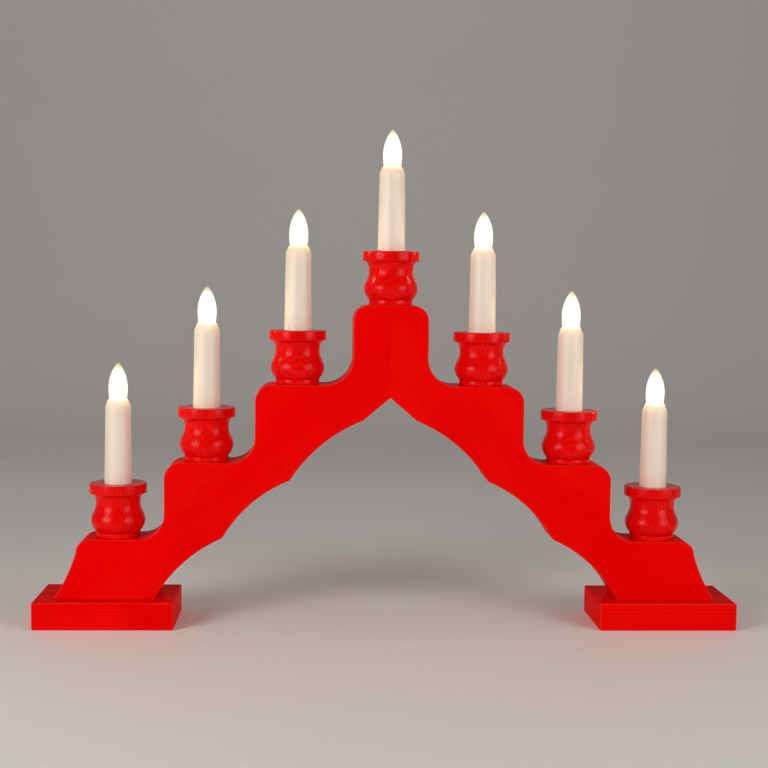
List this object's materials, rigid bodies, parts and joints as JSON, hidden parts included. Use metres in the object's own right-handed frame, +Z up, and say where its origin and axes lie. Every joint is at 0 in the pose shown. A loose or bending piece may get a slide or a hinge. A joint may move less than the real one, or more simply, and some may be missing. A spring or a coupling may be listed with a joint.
{
  "type": "electric candle arch",
  "caption": "Stepped wooden candle arch with turned cups, white candle sleeves and screw-in lamps, on two block feet.",
  "frame": {"origin": "on the resting plane, midway between the feet and midway front to back", "axes": "+X along the arch to the right as the front is seen, +Y to the back, +Z up"},
  "size_m": [0.411, 0.0484, 0.2907],
  "materials": {
    "arch_paint": "red stain-like paint over softwood, satin, diagonal grain ridges showing",
    "foot_paint": "red paint over softwood, satin, straight grain",
    "cup_paint": "red paint over turned wood, semi-gloss, ring grain showing",
    "sleeve_plastic": "warm white moulded plastic, semi-gloss",
    "lit_glass": "frosted, lit",
    "contact_brass": "pressed, bright",
    "cap_metal": "rolled thread, plated",
    "tip_solder": "soldered button in a dark bead",
    "filament_wire": "drawn wire, lit",
    "screw_steel": "zinc plated",
    "staple_steel": "galvanised wire",
    "wire_sheath": "white insulation",
    "bare_wood": "beech, bare"
  },
  "bodies": {
    "arch": {"arch_left": "arch_paint", "arch_right": "arch_paint", "foot_left": "foot_paint", "foot_right": "foot_paint", "mitre_dowels": "bare_wood", "foot_screws": "screw_steel", "link_wires": "wire_sheath", "return_wire": "wire_sheath", "wire_staples": "staple_steel", "centre_contacts": "contact_brass", "cup_1": "cup_paint", "cup_2": "cup_paint", "cup_3": "cup_paint", "cup_4": "cup_paint", "cup_5": "cup_paint", "cup_6": "cup_paint", "cup_7": "cup_paint", "candle_sleeve_1": "sleeve_plastic", "candle_sleeve_2": "sleeve_plastic", "candle_sleeve_3": "sleeve_plastic", "candle_sleeve_4": "sleeve_plastic", "candle_sleeve_5": "sleeve_plastic", "candle_sleeve_6": "sleeve_plastic", "candle_sleeve_7": "sleeve_plastic", "lamp_shell_1": "contact_brass", "lamp_shell_2": "contact_brass", "lamp_shell_3": "contact_brass", "lamp_shell_4": "contact_brass", "lamp_shell_5": "contact_brass", "lamp_shell_6": "contact_brass", "lamp_shell_7": "contact_brass"},
    "lamp_1_lift": {"bulb_tip_1": "tip_solder"},
    "lamp_1": {"bulb_cap_1": "cap_metal", "bulb_glass_1": "lit_glass", "bulb_filament_1": "filament_wire"},
    "lamp_2_lift": {"bulb_tip_2": "tip_solder"},
    "lamp_2": {"bulb_cap_2": "cap_metal", "bulb_glass_2": "lit_glass", "bulb_filament_2": "filament_wire"},
    "lamp_3_lift": {"bulb_tip_3": "tip_solder"},
    "lamp_3": {"bulb_cap_3": "cap_metal", "bulb_glass_3": "lit_glass", "bulb_filament_3": "filament_wire"},
    "lamp_4_lift": {"bulb_tip_4": "tip_solder"},
    "lamp_4": {"bulb_cap_4": "cap_metal", "bulb_glass_4": "lit_glass", "bulb_filament_4": "filament_wire"},
    "lamp_5_lift": {"bulb_tip_5": "tip_solder"},
    "lamp_5": {"bulb_cap_5": "cap_metal", "bulb_glass_5": "lit_glass", "bulb_filament_5": "filament_wire"},
    "lamp_6_lift": {"bulb_tip_6": "tip_solder"},
    "lamp_6": {"bulb_cap_6": "cap_metal", "bulb_glass_6": "lit_glass", "bulb_filament_6": "filament_wire"},
    "lamp_7_lift": {"bulb_tip_7": "tip_solder"},
    "lamp_7": {"bulb_cap_7": "cap_metal", "bulb_glass_7": "lit_glass", "bulb_filament_7": "filament_wire"}
  },
  "joints": [
    {"name": "lamp_1_rise", "type": "slide", "parent": "arch", "child": "lamp_1_lift", "axis": [0, 0, 1], "range_m": [0, 0.00544]},
    {"name": "lamp_1_turn", "type": "hinge", "parent": "lamp_1_lift", "child": "lamp_1", "pos_m": [-0.1591, 0, 0.1315], "axis": [0, 0, 1], "range_deg": [0, 1080]},
    {"name": "lamp_2_rise", "type": "slide", "parent": "arch", "child": "lamp_2_lift", "axis": [0, 0, 1], "range_m": [0, 0.00544]},
    {"name": "lamp_2_turn", "type": "hinge", "parent": "lamp_2_lift", "child": "lamp_2", "pos_m": [-0.1074, 0, 0.1768], "axis": [0, 0, 1], "range_deg": [0, 1080]},
    {"name": "lamp_3_rise", "type": "slide", "parent": "arch", "child": "lamp_3_lift", "axis": [0, 0, 1], "range_m": [0, 0.00544]},
    {"name": "lamp_3_turn", "type": "hinge", "parent": "lamp_3_lift", "child": "lamp_3", "pos_m": [-0.0543, 0, 0.2226], "axis": [0, 0, 1], "range_deg": [0, 1080]},
    {"name": "lamp_4_rise", "type": "slide", "parent": "arch", "child": "lamp_4_lift", "axis": [0, 0, 1], "range_m": [0, 0.00544]},
    {"name": "lamp_4_turn", "type": "hinge", "parent": "lamp_4_lift", "child": "lamp_4", "pos_m": [0, 0, 0.2693], "axis": [0, 0, 1], "range_deg": [0, 1080]},
    {"name": "lamp_5_rise", "type": "slide", "parent": "arch", "child": "lamp_5_lift", "axis": [0, 0, 1], "range_m": [0, 0.00544]},
    {"name": "lamp_5_turn", "type": "hinge", "parent": "lamp_5_lift", "child": "lamp_5", "pos_m": [0.0543, 0, 0.2226], "axis": [0, 0, 1], "range_deg": [0, 1080]},
    {"name": "lamp_6_rise", "type": "slide", "parent": "arch", "child": "lamp_6_lift", "axis": [0, 0, 1], "range_m": [0, 0.00544]},
    {"name": "lamp_6_turn", "type": "hinge", "parent": "lamp_6_lift", "child": "lamp_6", "pos_m": [0.1074, 0, 0.1768], "axis": [0, 0, 1], "range_deg": [0, 1080]},
    {"name": "lamp_7_rise", "type": "slide", "parent": "arch", "child": "lamp_7_lift", "axis": [0, 0, 1], "range_m": [0, 0.00544]},
    {"name": "lamp_7_turn", "type": "hinge", "parent": "lamp_7_lift", "child": "lamp_7", "pos_m": [0.1591, 0, 0.1315], "axis": [0, 0, 1], "range_deg": [0, 1080]}
  ],
  "couplings": [
    {"joint": "lamp_1_turn", "follows": "lamp_1_rise", "rad_per_m": 3463.7},
    {"joint": "lamp_2_turn", "follows": "lamp_2_rise", "rad_per_m": 3463.7},
    {"joint": "lamp_3_turn", "follows": "lamp_3_rise", "rad_per_m": 3463.7},
    {"joint": "lamp_4_turn", "follows": "lamp_4_rise", "rad_per_m": 3463.7},
    {"joint": "lamp_5_turn", "follows": "lamp_5_rise", "rad_per_m": 3463.7},
    {"joint": "lamp_6_turn", "follows": "lamp_6_rise", "rad_per_m": 3463.7},
    {"joint": "lamp_7_turn", "follows": "lamp_7_rise", "rad_per_m": 3463.7}
  ]
}
